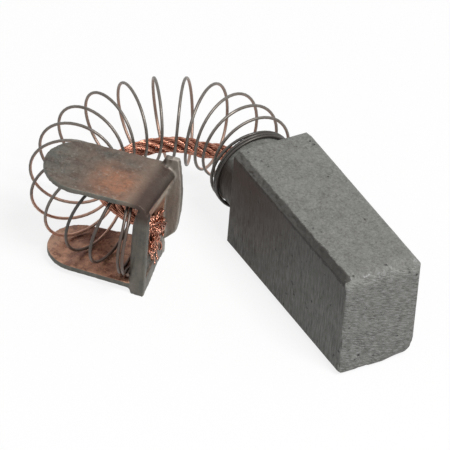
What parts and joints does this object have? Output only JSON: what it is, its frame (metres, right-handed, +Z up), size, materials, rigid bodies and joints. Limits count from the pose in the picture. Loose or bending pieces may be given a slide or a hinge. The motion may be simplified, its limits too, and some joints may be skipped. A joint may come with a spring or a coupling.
{
  "type": "carbon brush",
  "caption": "Carbon motor brush: bevelled block with a round neck, soft coil spring bent in a C, twisted copper lead inside it and a bent sheet clip with two round-ended legs.",
  "frame": {"origin": "middle of the long face of the block that the part lies on", "axes": "+X along the block towards its contact face, +Y across the block away from the clip, +Z up out of the face it lies on"},
  "size_m": [0.0288, 0.0194, 0.0083],
  "materials": {
    "carbon": "satin, ground and lightly worn",
    "tamping_powder": "matte",
    "spring_wire": "satin",
    "clip_sheet": "satin, tarnished",
    "copper_strand": "bright"
  },
  "bodies": {
    "root": {"carbon_block": "carbon", "tamping_plug": "tamping_powder", "spring": "spring_wire", "terminal_clip": "clip_sheet", "lead_strand_1": "copper_strand", "lead_strand_2": "copper_strand", "lead_strand_3": "copper_strand", "lead_strand_4": "copper_strand", "lead_strand_5": "copper_strand", "lead_strand_6": "copper_strand", "lead_strand_7": "copper_strand"}
  },
  "joints": []
}
